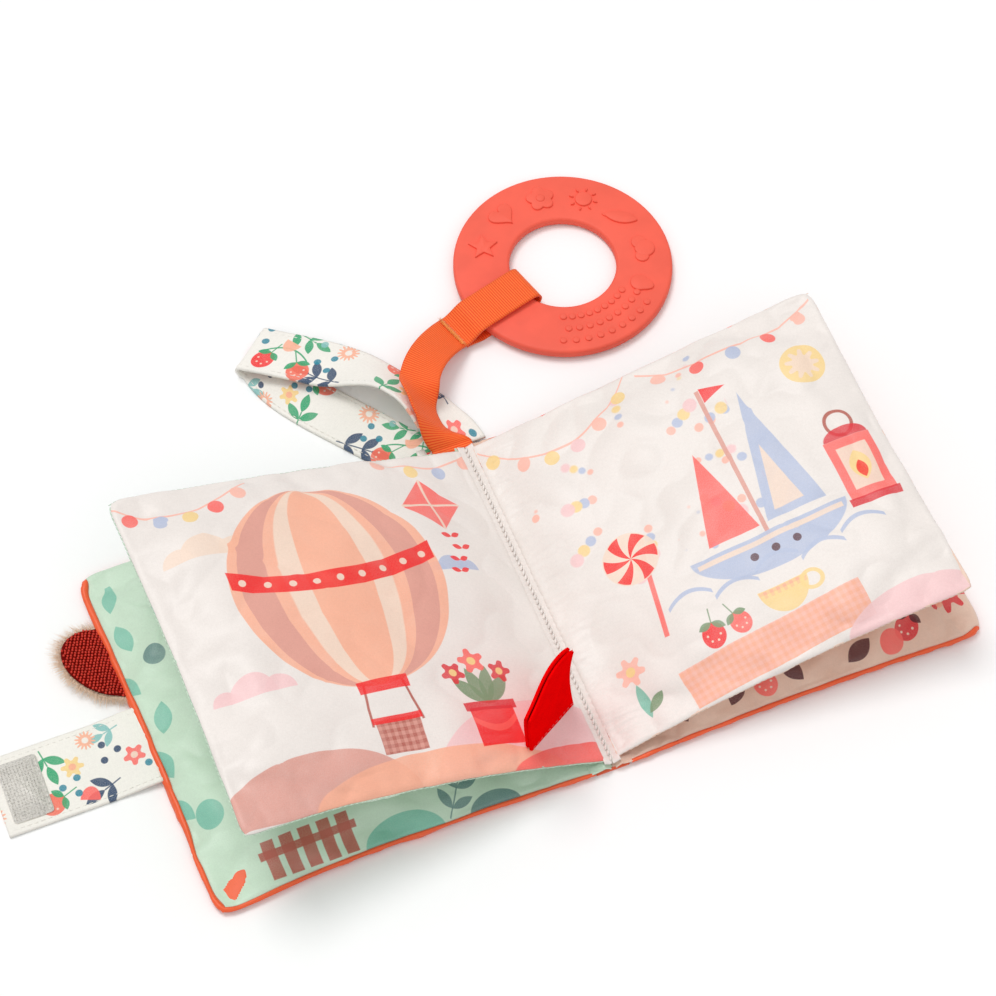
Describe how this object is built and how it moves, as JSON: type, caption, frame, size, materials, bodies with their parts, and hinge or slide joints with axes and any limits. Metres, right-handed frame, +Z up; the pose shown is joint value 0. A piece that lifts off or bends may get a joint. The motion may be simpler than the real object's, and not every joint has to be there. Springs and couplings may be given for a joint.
{
  "type": "crinkle cloth book",
  "caption": "Padded cloth book lying open at its middle spread, with crinkle film inside its panels, a lift flap, a carry loop, a closure strap and a teether ring on a ribbon.",
  "frame": {"origin": "centre of the flat underside of the spine strip, on the surface that the book lies on", "axes": "+X across the open spread towards the right leaf, +Y along the spine towards its head where the loop and ribbon are sewn, +Z up"},
  "size_m": [0.3376, 0.241, 0.0491],
  "materials": {
    "orange_satin": "orange polyester satin",
    "mint_satin": "printed mint polyester satin",
    "peach_satin": "printed peach polyester satin",
    "white_satin": "printed white polyester satin",
    "wadding": "polyester wadding",
    "crinkle_film": "thin crackling plastic film",
    "silver_thread": "silver-white sewing thread",
    "printed_cotton": "cream cotton with a floral print",
    "hook_tape": "clear nylon hook tape",
    "loop_tape": "white loop pile tape",
    "coral_rubber": "matt coral rubber",
    "grosgrain": "orange grosgrain ribbon",
    "tack_thread": "orange bar tack",
    "red_felt": "red felt",
    "rust_terry": "rust terry cloth",
    "peach_fur": "short peach plush fur"
  },
  "bodies": {
    "spine": {"spine_strip": "orange_satin", "spine_seam_bundle": "white_satin", "spine_seam_thread": "silver_thread"},
    "left_leaf": {"left_leaf_back_page": "mint_satin", "left_leaf_wadding": "wadding", "left_leaf_crinkle_film": "crinkle_film", "left_leaf_face_page": "white_satin"},
    "front_cover": {"front_cover_outer_cloth": "orange_satin", "front_cover_wadding": "wadding", "front_cover_crinkle_film": "crinkle_film", "front_cover_inner_page": "mint_satin"},
    "right_leaf": {"right_leaf_back_page": "peach_satin", "right_leaf_wadding": "wadding", "right_leaf_crinkle_film": "crinkle_film", "right_leaf_face_page": "white_satin"},
    "back_cover": {"back_cover_outer_cloth": "orange_satin", "back_cover_wadding": "wadding", "back_cover_crinkle_film": "crinkle_film", "back_cover_inner_page": "peach_satin", "loop_patch": "loop_tape"},
    "closure_strap": {"closure_strap": "printed_cotton", "hook_patch": "hook_tape"},
    "ear_tab": {"ear_tab_terry": "rust_terry", "ear_tab_fur": "peach_fur"},
    "lift_flap": {"flap_front_felt": "red_felt", "flap_back_felt": "red_felt"},
    "carry_loop": {"carry_loop": "printed_cotton"},
    "teether_ribbon": {"teether_ribbon": "grosgrain", "ribbon_bar_tack": "tack_thread"},
    "teether_ring": {"teether_ring": "coral_rubber"}
  },
  "joints": [
    {"name": "left_half_turn", "type": "hinge", "parent": "spine", "child": "left_leaf", "pos_m": [-0.0015, 0, 0.0045], "axis": [0, -1, 0], "range_deg": [-115, 0]},
    {"name": "front_cover_open", "type": "hinge", "parent": "left_leaf", "child": "front_cover", "pos_m": [-0.00615, 0, 0], "axis": [0, 1, 0], "range_deg": [-150, 0]},
    {"name": "right_half_turn", "type": "hinge", "parent": "spine", "child": "right_leaf", "pos_m": [0.0015, 0, 0.0045], "axis": [0, -1, 0], "range_deg": [0, 75]},
    {"name": "back_cover_open", "type": "hinge", "parent": "right_leaf", "child": "back_cover", "pos_m": [0.00615, 0, 0], "axis": [0, 1, 0], "range_deg": [0, 150]},
    {"name": "closure_strap_fold", "type": "hinge", "parent": "front_cover", "child": "closure_strap", "pos_m": [-0.14054, -0.002, 0.0023], "axis": [0, 1, 0], "range_deg": [0, 85]},
    {"name": "ear_tab_flex", "type": "hinge", "parent": "front_cover", "child": "ear_tab", "pos_m": [-0.14113, 0.0325, 0.0039], "axis": [0, 1, 0], "range_deg": [0, 70]},
    {"name": "lift_flap_fold", "type": "hinge", "parent": "left_leaf", "child": "lift_flap", "pos_m": [-0.016, -0.051, 0.01377], "axis": [-0.7531, -0.5472, 0.3653], "range_deg": [-30, 75], "deforming": ["flap_front_felt", "flap_back_felt"]},
    {"name": "carry_loop_hang", "type": "hinge", "parent": "spine", "child": "carry_loop", "pos_m": [-0.001, 0.0703, 0.0003], "axis": [1, 0, 0], "range_deg": [-85, 0]},
    {"name": "teether_ribbon_lift", "type": "hinge", "parent": "spine", "child": "teether_ribbon", "pos_m": [-0.004, 0.0703, 0.0039], "axis": [1, 0, 0], "range_deg": [0, 80]},
    {"name": "teether_ring_slide_round", "type": "hinge", "parent": "teether_ribbon", "child": "teether_ring", "pos_m": [0.064, 0.13, 0.0027], "axis": [0.0164, 0.0046, 0.9999], "continuous": true}
  ]
}
